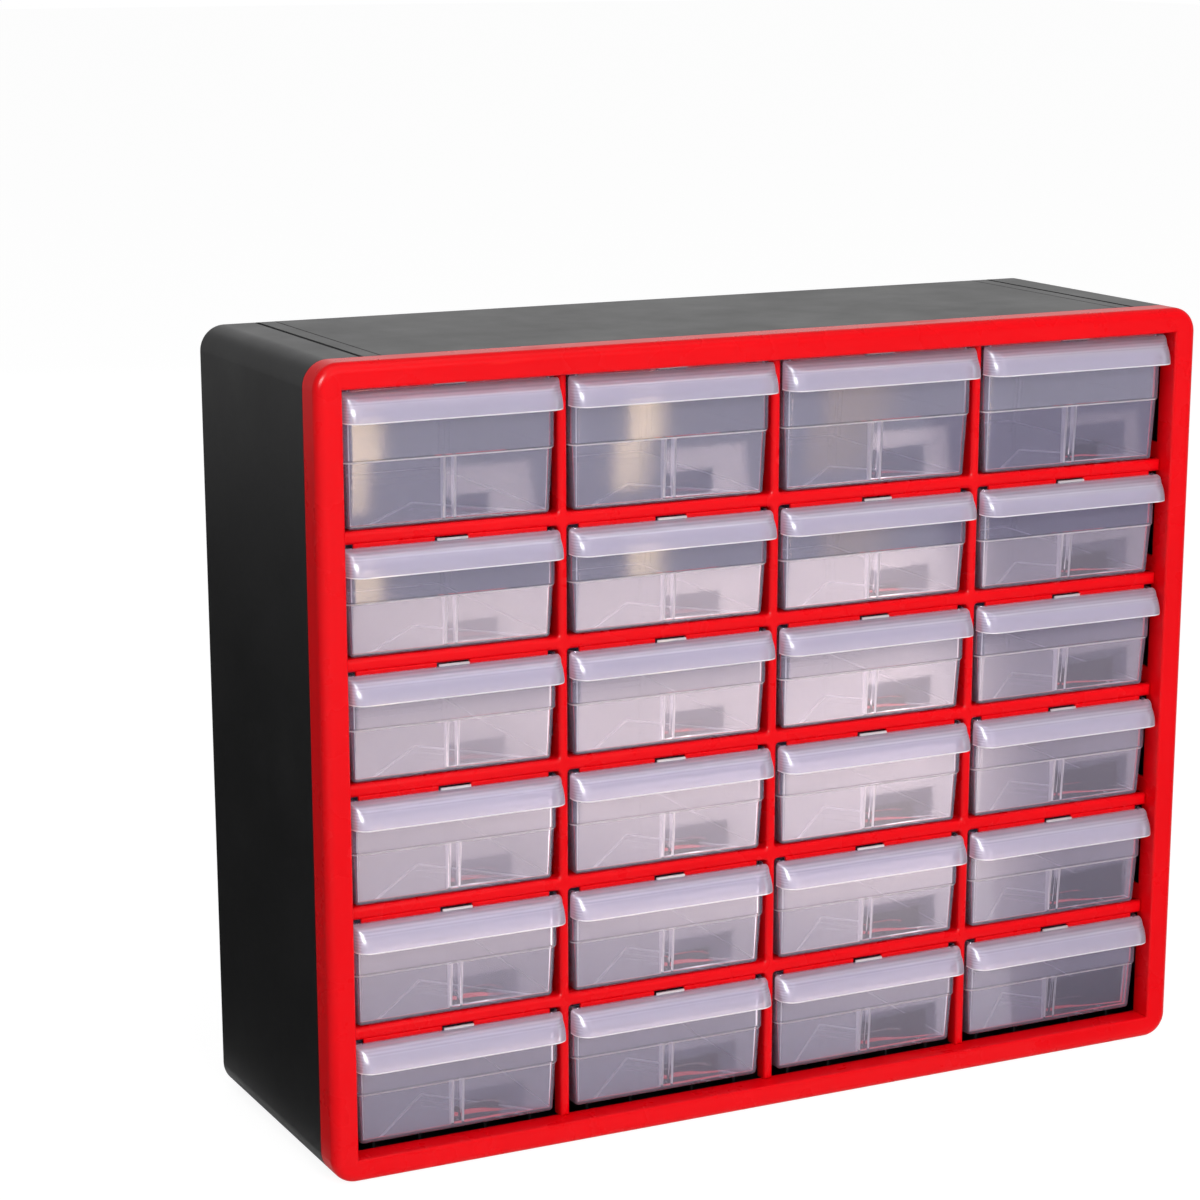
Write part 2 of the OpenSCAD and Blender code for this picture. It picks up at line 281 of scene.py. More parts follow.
class Paint:
    # the nodes of a material or a world
    def __init__(self, owner):
        owner.use_nodes = True
        self.owner, self.tree = owner, owner.node_tree
        self.tree.nodes.clear()

    def add(self, kind, settings=None, output=0, **sockets):
        # a socket goes by its name, or by its number after an underscore
        node = self.tree.nodes.new(kind)
        for key, value in (settings or {}).items():
            setattr(node, key, value)
        for key, value in sockets.items():
            where = int(key[1:]) if key[0] == "_" else key.replace("_", " ")
            self.plug(node.inputs[where], value)
        return Wire(self, node.outputs[output]) if len(node.outputs) else node

    def plug(self, socket, value):
        if isinstance(value, Wire):
            self.tree.links.new(value.socket, socket)
        elif isinstance(value, tuple) and len(value) == 3 and socket.type == "RGBA":
            socket.default_value = (*value, 1)
        else:
            socket.default_value = value

    def sums(self, operation, first, second=0.0):
        return self.add("ShaderNodeMath", {"operation": operation}, _0=first, _1=second)

    def band(self, value, low, high):
        # rises smoothly from 0 at low to 1 at high, or falls when low is the larger
        return self.add(
            "ShaderNodeMapRange", {"interpolation_type": "SMOOTHSTEP"},
            Value=value, From_Min=low, From_Max=high, To_Min=0.0, To_Max=1.0,
        )

    def blend(self, factor, first, second):
        return self.add("ShaderNodeMix", {"data_type": "RGBA"}, output=2, _0=factor, _6=first, _7=second)

    def mix(self, factor, first, second):
        return self.add("ShaderNodeMixShader", _0=factor, _1=first, _2=second)

    def ownSpace(self):
        return self.add("ShaderNodeTexCoord", output=3)

    def axis(self, index):
        # one of the three directions of the object's own space, in metres
        return self.add("ShaderNodeSeparateXYZ", output=index, _0=self.ownSpace())

    def stretched(self, scale):
        return self.add("ShaderNodeVectorMath", {"operation": "MULTIPLY"}, _0=self.ownSpace(), _1=scale)

    def noise(self, scale, detail=3, roughness=0.5, vector=None):
        return self.add(
            "ShaderNodeTexNoise", Vector=vector or self.ownSpace(),
            Scale=float(scale), Detail=float(detail), Roughness=float(roughness),
        )

    def around(self, value, noise, spread):
        # the value, moved up and down by a noise whose middle is a half
        return noise * spread + (value - spread / 2)

    def bump(self, height, distance, strength):
        return self.add("ShaderNodeBump", Strength=strength, Distance=distance / 1000, Height=height)

    def finish(self, shader, kind="ShaderNodeOutputMaterial"):
        self.add(kind, Surface=shader)
        return self.owner


def newPaint(name):
    return Paint(bpy.data.materials.new(name))


# in a finish, cloud, smudge and the like are scales of noises, a spread or share says how far
# each is felt, and grain depths are in millimetres
shellFinish = {
    "color": (0.0085, 0.0085, 0.0095), "worn": (0.02, 0.02, 0.021), "rough": 0.38, "specular": 0.5,
    "cloud": 9, "cloudBand": (0.35, 0.8), "cloudShare": 0.5, "smudge": 26, "smudgeSpread": 0.16,
    "rub": 5, "rubStretch": (0.4, 1.0, 2.2), "rubBand": (0.56, 0.72), "rubShare": 0.3, "rubRough": 0.06,
    "grain": 950, "grainDepth": 0.05, "grainStrength": 0.5,
}
frameFinish = {
    "color": (0.84, 0.0012, 0.006), "deep": (0.72, 0.0006, 0.004), "scuff": (0.86, 0.03, 0.02),
    "rough": 0.28, "specular": 0.16, "cloud": 14, "smudge": 40, "smudgeSpread": 0.1,
    "scratch": 38, "scratchStretch": (0.22, 1.0, 1.6), "scratchBand": (0.62, 0.74),
    "scratchShare": 0.28, "scratchRough": 0.14,
    "grain": 75, "grainDepth": 0.06, "grainStrength": 0.3,
}
# the edge colour is a painted highlight: it whitens the drawers' edge strips and the wall in front of the
# ribs
drawerFinish = {
    "color": (0.77, 0.73, 1.0), "lip": (0.88, 0.82, 1.0), "edge": (1.0, 0.96, 1.0),
    "clear": (0.96, 0.96, 1.0), "shade": 0.95,
    "cover": 0.215, "edgeHighlightCover": 0.9, "ribHighlightCover": 0.6, "lipCover": 0.36, "steepCover": 0.25,
    "scatter": 0.4, "rough": 0.05, "lipRough": 0.3, "smudge": 60, "smudgeSpread": 0.04,
    "cloud": 30, "cloudBand": (0.3, 0.8), "cloudSpread": 0.06,
    "grip": 1.4, "gripStart": (-0.5, 0.2), "gripEnd": (6.6, 5.8), "gripRise": 0.18, "gripCover": 0.05,
    "fine": 420, "fineRise": 0.002, "wave": 45, "waveRise": 0.06, "grainDepth": 0.1, "grainStrength": 0.5,
}


def shellPlastic():
    look = shellFinish
    paint = newPaint("shell black plastic")
    cloud = paint.band(paint.noise(look["cloud"], 4), *look["cloudBand"])
    streaks = paint.noise(look["rub"], 6, 0.7, paint.stretched(look["rubStretch"]))
    rubbed = paint.band(streaks, *look["rubBand"])
    worn = cloud * look["cloudShare"] + rubbed * look["rubShare"]
    smudged = paint.around(look["rough"], paint.noise(look["smudge"], 5, 0.6), look["smudgeSpread"])
    return paint.finish(paint.add(
        "ShaderNodeBsdfPrincipled", Base_Color=paint.blend(worn, look["color"], look["worn"]),
        Roughness=smudged + rubbed * look["rubRough"], IOR=1.5, Specular_IOR_Level=look["specular"],
        Normal=paint.bump(paint.noise(look["grain"], 2), look["grainDepth"], look["grainStrength"]),
    ))


def framePlastic():
    look = frameFinish
    paint = newPaint("frame red plastic")
    color = paint.blend(paint.noise(look["cloud"], 3), look["color"], look["deep"])
    streaks = paint.noise(look["scratch"], 5, 0.75, paint.stretched(look["scratchStretch"]))
    scratched = paint.band(streaks, *look["scratchBand"])
    smudged = paint.around(look["rough"], paint.noise(look["smudge"], 4), look["smudgeSpread"])
    return paint.finish(paint.add(
        "ShaderNodeBsdfPrincipled",
        Base_Color=paint.blend(scratched * look["scratchShare"], color, look["scuff"]),
        Roughness=smudged + scratched * look["scratchRough"], IOR=1.5, Specular_IOR_Level=look["specular"],
        Normal=paint.bump(paint.noise(look["grain"], 2), look["grainDepth"], look["grainStrength"]),
    ))


def gripLines(paint):
    # fine lines along the sloping top of each lip, which end where the slope does
    depth, height = paint.axis(1), paint.axis(2)
    onSlope = [
        paint.band(depth, *((cabinet["faceY"] + edge) / 1000 for edge in drawerFinish[end]))
        for end in ("gripStart", "gripEnd")
    ]
    lines = paint.sums("SINE", height * (2 * pi * 1000 / drawerFinish["grip"]))
    return lines * (onSlope[0] * onSlope[1])


def drawerPlastic(name, cover, color, rough=drawerFinish["rough"]):
    # a thin milky sheet: part clear, part lit from both sides, with a gloss over it
    look = drawerFinish
    paint = newPaint(name)
    cloud, lines = paint.noise(look["cloud"], 4, 0.6), gripLines(paint)
    fine = paint.noise(look["fine"], 3) * look["fineRise"]
    wave = paint.noise(look["wave"], 2) * look["waveRise"]
    grain = paint.bump(fine + wave + lines * look["gripRise"], look["grainDepth"], look["grainStrength"])
    shaded = tuple(part * look["shade"] for part in color)
    tint = paint.blend(paint.band(cloud, *look["cloudBand"]), color, shaded)
    # seen at a low angle, the sheet is thicker and milkier
    slant = paint.add("ShaderNodeLayerWeight", Blend=0.3, output=1)
    steep = slant * slant
    thick = paint.around(cover, cloud, look["cloudSpread"]) + steep * steep * look["steepCover"]
    cloudy = paint.sums("MINIMUM", thick + lines * look["gripCover"], 1.0)
    lit = paint.add(
        "ShaderNodeBsdfPrincipled", Base_Color=tint, Roughness=1.0, Specular_IOR_Level=0.0, Normal=grain,
    )
    behind = paint.add("ShaderNodeBsdfTranslucent", Color=color, Normal=grain)
    milky = paint.mix(look["scatter"], lit, behind)
    clear = paint.add("ShaderNodeBsdfTransparent", Color=look["clear"])
    shine = paint.add(
        "ShaderNodeBsdfGlossy", Color=(1, 1, 1), Normal=grain,
        Roughness=paint.around(rough, paint.noise(look["smudge"], 4), look["smudgeSpread"]),
    )
    gloss = paint.add("ShaderNodeFresnel", IOR=1.49)
    return paint.finish(paint.mix(gloss, paint.mix(cloudy, clear, milky), shine))


blackPlastic, redPlastic, milk = shellPlastic(), framePlastic(), drawerFinish
# the edge plastic is a painted highlight for the bright edge lines; the rib plastic is a thicker, milkier
# wall that is also painted brighter as a highlight
drawerPlastics = {
    "clear": drawerPlastic("frosted drawer plastic", milk["cover"], milk["color"]),
    "edge": drawerPlastic("drawer edge painted highlight", milk["edgeHighlightCover"], milk["edge"]),
    "rib": drawerPlastic("drawer wall over a rib with painted highlight", milk["ribHighlightCover"], milk["edge"]),
    "lip": drawerPlastic("drawer lip", milk["lipCover"], milk["lip"], milk["lipRough"]),
}


def dress(piece, material, body, node):
    # a piece without a material here has its own already
    if material:
        piece.data.materials.clear()
        piece.data.materials.append(material)
    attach(piece, body)
    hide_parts(node)


bezel = {"clean": 6.5, "cleanBand": 1.5, "rim": 3, "wall": 2.2, "openingArea": 0.05}


def inWindow(x, z):
    return abs(x) < window["half"] + slack and window["bottom"] - slack < z < window["top"] + slack


def makeBezel():
    # front face, drawn in three times so that both rounded edges have clean faces beside them
    wide, high, rim = cabinet["width"], cabinet["height"], bezel["rim"]
    piece = startPlane("frontBezel", wide, high, 0, 0, high / 2, upright=True)
    openEdit(piece)
    pick("VERT", everything)
    roundEdges(cabinet["corner"], cabinet["cornerSteps"], "VERTICES")
    pick("FACE", everything)
    bpy.ops.mesh.inset(thickness=bezel["clean"] / 1000, depth=0)
    bpy.ops.mesh.inset(thickness=bezel["cleanBand"] / 1000, depth=0)
    mesh = bmesh.from_edit_mesh(piece.data)
    inner = max((face for face in mesh.faces if face.select), key=lambda face: face.calc_area())
    for vert in inner.verts:
        x, depth, z = spot(vert.co)
        vert.co = place(
            (window["half"] + rim) * (1 if x > 0 else -1), 0,
            window["top"] + rim if z > high / 2 else window["bottom"] - rim,
        )
    bmesh.update_edit_mesh(piece.data)
    bpy.ops.mesh.select_all(action="SELECT")
    bpy.ops.mesh.remove_doubles(threshold=closeBy / 1000)
    # the one large face is the opening
    pick("FACE", lambda x, d, z, part: part.calc_area() > bezel["openingArea"])
    bpy.ops.mesh.inset(thickness=rim / 1000, depth=0)
    bpy.ops.mesh.delete(type="FACE")
    pick("EDGE", lambda x, d, z, part: part.is_boundary and not inWindow(x, z))
    extrudeBy(0, cabinet["wrap"], 0)
    pick("EDGE", lambda x, d, z, part: part.is_boundary and inWindow(x, z))
    extrudeBy(0, window["returnDepth"], 0)
    pick("EDGE", lambda x, d, z, part: abs(d) < closeBy and isCorner(part) and not inWindow(x, z))
    roundEdges(cabinet["frontRound"], cabinet["frontSteps"])
    pick("EDGE", lambda x, d, z, part: abs(d) < closeBy and isCorner(part) and inWindow(x, z))
    roundEdges(window["round"], window["roundSteps"])
    closeEdit()
    thicken(piece, bezel["wall"])
    smooth(piece)
    return piece


grille = {"recess": 9, "depth": 8, "noseRound": 2.42, "noseSteps": 6, "fillet": 1.6, "filletSteps": 4}


def makeGrille():
    half, low, high = window["half"], window["bottom"], window["top"]
    halfDivider, halfRail = cells["divider"] / 2, cells["rail"] / 2
    posts = [dividerX(column) for column in innerColumns]
    bars = [rowZ(row) - halfRail for row in innerRows]
    piece = startPlane("grille", 2 * half, high - low, 0, grille["recess"], (high + low) / 2, upright=True)
    openEdit(piece)
    for post in posts:
        cutAt(x=post - halfDivider)
        cutAt(x=post + halfDivider)
    for row in innerRows:
        cutAt(z=rowZ(row))
        cutAt(z=rowZ(row) - cells["rail"])

    def onBar(x, z):
        onPost = any(abs(x - post) < halfDivider for post in posts)
        return onPost or any(abs(z - bar) < halfRail for bar in bars)

    pick("FACE", lambda x, d, z, part: not onBar(x, z))
    bpy.ops.mesh.delete(type="FACE")
    # joins stay only across the middle of each bar, clear of the corners
    middlesX = [columnX(column) for column in allColumns]
    middlesZ = [rowZ(row) + rowHeight(row) / 2 for row in allRows]
    for x in middlesX:
        cutAt(x=x)
    for z in middlesZ:
        cutAt(z=z)

    def isJoin(x, z):
        acrossRail = any(abs(x - middle) < slack for middle in middlesX)
        return acrossRail or any(abs(z - middle) < slack for middle in middlesZ)

    pick("EDGE", lambda x, d, z, part: len(part.link_faces) == 2 and not isJoin(x, z))
    bpy.ops.mesh.dissolve_edges(use_verts=False)
    pick("FACE", everything)
    extrudeBy(0, grille["depth"], 0)
    bpy.ops.mesh.select_all(action="SELECT")
    bpy.ops.mesh.normals_make_consistent(inside=False)

    def cellCorner(x, d, z, part):
        along = part.verts[0].co - part.verts[1].co
        runsBack = abs(along.y) > grille["depth"] / 2 / 1000
        inside = abs(x) < half - slack and low + slack < z < high - slack
        # a join across the middle of a bar is flat, and stays as it is
        return runsBack and inside and not part.is_convex and isCorner(part)

    pick("EDGE", cellCorner)
    roundEdges(grille["fillet"], grille["filletSteps"])
    pick("EDGE", lambda x, d, z, part: abs(d - grille["recess"]) < closeBy and isCorner(part))
    roundEdges(grille["noseRound"], grille["noseSteps"])
    # cuts round each crossing leave small plain faces there
    clear = grille["fillet"] + slack
    for post in posts:
        for offset in (0, halfDivider + clear, -halfDivider - clear):
            cutAt(x=post + offset)
    for bar in bars:
        for offset in (0, halfRail + clear, -halfRail - clear):
            cutAt(z=bar + offset)
    closeEdit()
    smooth(piece, 50)
    return piece


skirt = {
    "drop": 3, "front": 9.2, "thick": 1.8, "end": 6, "notch": 17, "sunk": 0.6,
    "taper": (0.99, 0.86, 1), "soft": 0.45, "softSteps": 3,
}
runner = {
    "front": 16, "back": 70, "thick": 2.2, "fin": 8.5, "wing": 11,
    "finCut": 6, "wingCut": 5, "soft": 0.35,
}
endRunner = {"front": 12.5, "gap": 1.2, "wall": 2, "frontCut": 4}


def makeSkirt():
    # one half, for the right of a cell whose middle is at 0 and whose top is at 0
    left, right = skirt["notch"] / 2, cells["width"] / 2 - skirt["end"]
    middle, depth = (left + right) / 2, skirt["front"] + skirt["thick"] / 2
    piece = startPlane("skirt", right - left, skirt["thick"], middle, depth, skirt["sunk"])
    openEdit(piece)
    pick("FACE", everything)
    extrudeBy(0, 0, -skirt["drop"] - skirt["sunk"])
    bpy.ops.transform.resize(value=skirt["taper"])
    closeEdit()
    softenEdges(piece, skirt["soft"], skirt["softSteps"])
    return piece


def makeRunner():
    # a tee: wings under two drawers and a fin between them, with the back corners cut away
    half, fin = cells["divider"] / 2 + runner["wing"], runner["thick"] / 2
    under, top = -runner["thick"], runner["fin"]
    wings = [(-half, 0), (-half, under), (half, under), (half, 0)]
    tee = wings + [(fin, 0), (fin, top), (-fin, top), (-fin, 0)]
    piece = startOutline("runner", [(x, runner["front"], z) for x, z in tee])
    openEdit(piece)
    pick("FACE", everything)
    extrudeBy(0, runner["back"] - runner["front"], 0)
    atBack = runner["back"] - endReach
    pick("VERT", lambda x, d, z, part: d > atBack and z > endReach)
    moveBy(0, -runner["finCut"], 0)
    pick("VERT", lambda x, d, z, part: d > atBack and abs(x) > half - endReach)
    moveBy(0, -runner["wingCut"], 0)
    closeEdit()
    softenEdges(piece, runner["soft"])
    return piece


def makeEndRunner():
    # the right-hand end of a row, with the row's top at 0
    wall = window["half"]
    reach, outside = wall - endRunner["gap"] - runner["wing"], wall + endRunner["wall"]
    under, top, front = -runner["thick"], runner["fin"], endRunner["front"]
    ell = [(reach, 0), (reach, under), (outside, under), (outside, top), (wall, top), (wall, 0)]
    piece = startOutline("endRunner", [(x, front, z) for x, z in ell])
    openEdit(piece)
    pick("FACE", everything)
    extrudeBy(0, runner["back"] - front, 0)
    pick("VERT", lambda x, d, z, part: d > runner["back"] - endReach and z > endReach)
    moveBy(0, -runner["finCut"], 0)
    pick("VERT", lambda x, d, z, part: d < front + endReach and x < wall - slack)
    moveBy(0, endRunner["frontCut"], 0)
    closeEdit()
    softenEdges(piece, runner["soft"])
    return piece


def makeInnerFrame():
    # the grille with a pair of skirts over each cell and the runners behind each rail
    parts = [makeGrille()]
    halfSkirt, tee, end = makeSkirt(), makeRunner(), makeEndRunner()
    for row in allRows:
        top = rowZ(row) + rowHeight(row)
        for column in allColumns:
            for flip in (False, True):
                parts.append(copyPiece(halfSkirt, "skirtCopy", columnX(column), 0, top, flip))
        if row in innerRows:
            for column in innerColumns:
                parts.append(copyPiece(tee, "runnerCopy", dividerX(column), 0, rowZ(row)))
            for flip in (False, True):
                parts.append(copyPiece(end, "endCopy", 0, 0, rowZ(row), flip))
    for shape in (halfSkirt, tee, end):
        bpy.data.objects.remove(shape)
    return joinPieces("frontGrille", parts)


shell = {
    "wall": 2.4, "grooveInset": 30, "grooveWidth": 2.4, "grooveDepth": 0.9, "grooveSlope": 0.2,
    "fineStep": 10, "fineWidth": 0.9, "fineDepth": 0.35, "innerHalf": 246, "sunk": 0.4,
}
keyhole = {
    "x": 203.2, "z": 344, "radius": 4.5, "steps": 24, "slotHalf": 2.3, "rise": 9, "slotSteps": 12,
    "before": 5, "length": 8,
}
floorRib = {
    "across": (-43, -18, 18, 43), "thick": 1.6, "front": 18, "foot": 1.6,
    "notchTop": 4.8, "notchBack": 25.5, "soft": 0.3,
}
ledge = {"depth": 17, "thick": 2.2, "soft": 0.4}
backRib = {"thick": 2, "inset": 1, "margin": 2, "soft": 0.4}


def makeShell():
    wide, high = cabinet["width"], cabinet["height"]
    start, back = cabinet["wrap"] + cabinet["seam"], cabinet["depth"]
    main = wide / 2 - shell["grooveInset"]
    fine = main - shell["fineStep"]
    grooves = {main: shell["grooveWidth"] / 2, fine: shell["fineWidth"] / 2}
    piece = startPlane("cabinetShell", wide, high, 0, start, high / 2, upright=True)
    openEdit(piece)
    pick("VERT", everything)
    roundEdges(cabinet["corner"], cabinet["cornerSteps"], "VERTICES")
    for side in (-1, 1):
        for middle, half in grooves.items():
            floor = half - shell["grooveSlope"]
            for offset in (-half, -floor, floor, half):
                cutAt(x=side * middle + offset)
    bpy.ops.mesh.select_all(action="SELECT")
    extrudeBy(0, back - start, 0)
    pick("FACE", lambda x, d, z, part: abs(d - start) < closeBy)
    bpy.ops.mesh.delete(type="FACE")
    pick("EDGE", lambda x, d, z, part: abs(d - back) < closeBy and isCorner(part))
    roundEdges(cabinet["backRound"], cabinet["backSteps"])

    def sink(middle, onSide, drop):
        # moves the floor of a pair of grooves
        floor = grooves[middle] - shell["grooveSlope"] + closeBy
        pick("VERT", lambda x, d, z, part: abs(abs(x) - middle) < floor and onSide(z))
        moveBy(0, 0, drop)

    onTop, below = lambda z: z > high - closeBy, lambda z: z < closeBy
    sink(main, onTop, -shell["grooveDepth"])
    sink(main, below, shell["grooveDepth"])
    sink(fine, onTop, -shell["fineDepth"])
    closeEdit()
    thicken(piece, shell["wall"])
    for side in (-1, 1):
        carve(piece, makeKeyhole(side * keyhole["x"]))
    smooth(piece, 30)
    return piece


def arc(x, z, radius, start, end, steps):
    turns = [start + (end - start) * step / steps for step in range(steps + 1)]
    return [(x + radius * cos(turn), z + radius * sin(turn)) for turn in turns]


def makeKeyhole(x):
    # the cutter of one keyhole: a round hole with a slot over it
    z, mouth = keyhole["z"], acos(keyhole["slotHalf"] / keyhole["radius"])
    hole = arc(x, z, keyhole["radius"], mouth, -pi - mouth, keyhole["steps"])
    slot = arc(x, z + keyhole["rise"], keyhole["slotHalf"], pi, 0, keyhole["slotSteps"])
    outline = [(across, cabinet["depth"] - keyhole["before"], up) for across, up in hole + slot]
    return makeBar("keyhole", outline, (0, keyhole["length"], 0))


def makeShellInside():
    # runners under the bottom row, and the ledges and ribs on the back panel
    parts = []
    back = cabinet["depth"] - shell["wall"] + shell["sunk"]
    front, base, foot = floorRib["front"], cells["base"], floorRib["foot"]
    notchTop, notchBack = floorRib["notchTop"], floorRib["notchBack"]
    top, bottom = [(front, base), (back, base)], [(back, foot), (notchBack, foot)]
    profile = [(front, notchTop)] + top + bottom + [(notchBack, notchTop)]
    for column in allColumns:
        for offset in floorRib["across"]:
            x = columnX(column) + offset - floorRib["thick"] / 2
            outline = [(x, depth, z) for depth, z in profile]
            parts.append(makeBar("floorRib", outline, (floorRib["thick"], 0, 0), floorRib["soft"]))
    tip, left = cabinet["depth"] - shell["wall"] - ledge["depth"], -shell["innerHalf"]
    for row in innerRows:
        over, under = rowZ(row), rowZ(row) - ledge["thick"]
        outline = [(left, tip, over), (left, back, over), (left, back, under), (left, tip, under)]
        parts.append(makeBar("ledge", outline, (2 * shell["innerHalf"], 0, 0), ledge["soft"]))
    ribFront, low = tip + backRib["inset"], backRib["margin"]
    high = cabinet["height"] - backRib["margin"]
    for column in innerColumns:
        x = dividerX(column) - backRib["thick"] / 2
        outline = [(x, ribFront, low), (x, back, low), (x, back, high), (x, ribFront, high)]
        parts.append(makeBar("backRib", outline, (backRib["thick"], 0, 0), backRib["soft"]))
    piece = joinPieces("shellInside", parts)
    smooth(piece, 30)
    return piece


drawer = {
    "recess": 7.5, "width": 111.3, "length": 142.5, "restGap": 0.3, "rimGap": 1.2,
    "wall": 1.4, "floor": 1.5, "corner": 5.2, "cornerSteps": 9, "heel": 2, "heelSteps": 4,
    "innerHeel": 0.8, "innerHeelSteps": 3, "rimStrip": 0.6, "bandDraft": 0.2, "step": 0.9,
    "stepRise": 0.8, "stepLift": 0.42, "bodyDraft": 1.6, "shoulder": 26, "tallShoulder": 32,
    "soft": 0.28,
}
lip = {
    "height": 13, "tallHeight": 15, "reach": 10.5, "half": 56.65, "corner": 8,
    "wall": 1.4, "root": 8.5, "rootGap": 0.3, "topRound": 2.2, "across": 60, "rows": 15,
    "endShare": 0.1, "bendShare": 0.3, "edge": 0.032, "edgeHeight": 0.5, "soft": 0.4, "softSteps": 3,
}
tongue = {"width": 16, "thick": 1.2, "rise": 1.1, "sunk": 1.5, "soft": 0.25}
slotRib = {
    "thick": 1.4, "gap": 4.2, "depth": 2.6, "foot": 0.9, "topInset": 0.3, "topRise": 0.6,
    "tipDrop": 1, "soft": 0.4, "softSteps": 3,
}
bead = {"width": 1.5, "height": 0.45, "foot": 41, "tip": 50, "start": 2, "base": 1.0}
# the wall leans in by this much from the rim to the floor
leanIn = drawer["bandDraft"] + drawer["step"] + drawer["bodyDraft"]
# which faces get the painted highlight, by the direction they face and where they are
bright = {
    "step": 0.3, "wall": 0.9, "front": 0.6, "cornerTurn": (0.4, 0.56), "heelTurn": (0.5, 0.8),
    "cornerFrom": 46, "cornerReach": 3,
}


def addPlastics(piece):
    for material in drawerPlastics.values():
        piece.data.materials.append(material)


def paintFaces(kind, test):
    # gives the faces that pass the test one of the drawer's plastics
    pick("FACE", test)
    bpy.context.object.active_material_index = list(drawerPlastics).index(kind)
    bpy.ops.object.material_slot_assign()


def drawWalls(band, body):
    # from the rim down: a plain strip, the band, the step and the body
    stepIn(0, -drawer["rimStrip"])
    stepIn(drawer["bandDraft"], drawer["rimStrip"] - band)
    stepIn(drawer["step"], -drawer["stepRise"])
    stepIn(drawer["bodyDraft"], -body)


def drawHeel(radius, steps):
    # a quarter circle from the wall to the floor
    turns = [pi / 2 * step / steps for step in range(steps + 1)]
    for turn, after in zip(turns, turns[1:]):
        stepIn(radius * (cos(turn) - cos(after)), -radius * (sin(after) - sin(turn)))


def makeTub(name, height, shoulder):
    middle = drawer["recess"] + drawer["length"] / 2
    piece = startPlane(name, drawer["width"], drawer["length"], 0, middle, height)
    addPlastics(piece)
    openEdit(piece)
    pick("VERT", everything)
    roundEdges(drawer["corner"], drawer["cornerSteps"], "VERTICES")
    pick("FACE", everything)
    band = height - shoulder - drawer["stepRise"]
    drawWalls(band, shoulder - drawer["heel"])
    drawHeel(drawer["heel"], drawer["heelSteps"])
    pick("FACE", lambda x, d, z, part: abs(z - height) < closeBy)
    bpy.ops.mesh.inset(thickness=drawer["wall"] / 1000, depth=0)
    lift = drawer["stepLift"] * drawer["wall"]
    drawWalls(band - lift, shoulder + lift - drawer["floor"] - drawer["innerHeel"])
    drawHeel(drawer["innerHeel"], drawer["innerHeelSteps"])
    paintTub(height, shoulder)
    closeEdit()
    softenEdges(piece, drawer["soft"], angle=60)
    return piece


def paintTub(height, shoulder):
    low, high = shoulder - closeBy, shoulder + drawer["stepRise"] + closeBy
    # the shoulder step gets a painted highlight line
    paintFaces("edge", lambda x, d, z, part: low < z < high and abs(part.normal.z) > bright["step"])
    # the wall in front of the slot ribs is milkier, as it is thicker there, and is painted whiter as a
    # highlight
    near, far = slotRib["gap"] / 2, slotRib["gap"] / 2 + slotRib["thick"]
    for x in (-far, -near, near, far):
        cutAt(x=x)

    def onWall(x, d, z, part):
        facesFront = part.normal.y < -bright["wall"] and d < drawer["recess"] + leanIn + slack
        return facesFront and near < abs(x) < far and drawer["heel"] < z < low

    paintFaces("rib", onWall)

    # painted highlights where the wall turns: one strip of each upright corner and of the heel
    def onCorner(x, d, z, part):
        atFront = d < drawer["recess"] + drawer["corner"] + bright["cornerReach"] and z < height
        least, most = bright["cornerTurn"]
        turned = least < abs(part.normal.x) < most and part.normal.y < -bright["front"]
        return atFront and turned and abs(x) > bright["cornerFrom"]

    def onHeel(x, d, z, part):
        least, most = bright["heelTurn"]
        return z < drawer["heel"] and least < -part.normal.z < most

    paintFaces("edge", onCorner)
    paintFaces("edge", onHeel)


def makeLip(height, lipHeight):
    # a fine grid, bent into a round visor whose ends turn back to the drawer
    bpy.ops.object.select_all(action="DESELECT")
    bpy.ops.mesh.primitive_grid_add(x_subdivisions=lip["across"], y_subdivisions=lip["rows"], size=1)
    piece = settle("lip")
    low = height - lipHeight
    centre = drawer["recess"] - lip["reach"] + lipHeight
    last = acos((centre - lip["root"] + lip["rootGap"]) / lipHeight)
    bendEnd = lip["endShare"] + lip["bendShare"]
    for vert in piece.data.vertices:
        along, up = vert.co.x + 0.5, vert.co.y + 0.5
        side = -1 if along < 0.5 else 1
        run = 1 - abs(along - 0.5) * 2  # 0 at an end of the lip, 1 at its middle
        # the lowest row is a narrow one, and carries a painted highlight along the bottom edge
        step = round(up * lip["rows"])
        above = max(step - 1, 0) / (lip["rows"] - 1)
        turn = last * (lip["edge"] * min(step, 1) + (1 - lip["edge"]) * above)
        front, z = centre - lipHeight * cos(turn), low + lipHeight * sin(turn)
        # the ends draw in near the top
        near = max(0.0, z - (height - lip["topRound"])) / lip["topRound"]
        half = lip["half"] - lip["topRound"] * (1 - sqrt(max(0.0, 1 - min(near, 1) ** 2)))
        corner = min(lip["corner"], lip["root"] - front)
        if run < lip["endShare"]:
            x, depth = half, lip["root"] + (front + corner - lip["root"]) * run / lip["endShare"]
        elif run < bendEnd:
            bend = pi / 2 * (run - lip["endShare"]) / lip["bendShare"]
            x, depth = half - corner + corner * cos(bend), front + corner - corner * sin(bend)
        else:
            x, depth = (half - corner) * (1 - (run - bendEnd) / (1 - bendEnd)), front
        vert.co = place(side * x, depth, z)
    addPlastics(piece)
    openEdit(piece)
    paintFaces("lip", everything)
    # the bottom strip of the lip is painted bright as a highlight
    paintFaces("edge", lambda x, d, z, part: z < low + lip["edgeHeight"])
    closeEdit()
    thicken(piece, lip["wall"], material_offset_rim=1)
    softenEdges(piece, lip["soft"], lip["softSteps"], 60)
    return piece


def startFitting(name, outline, along, plastic):
    # a bar in one of the drawer's plastics
    piece = startOutline(name, outline)
    addPlastics(piece)
    openEdit(piece)
    pick("FACE", everything)
    extrudeBy(*along)
    paintFaces(plastic, everything)
    closeEdit()
    return piece


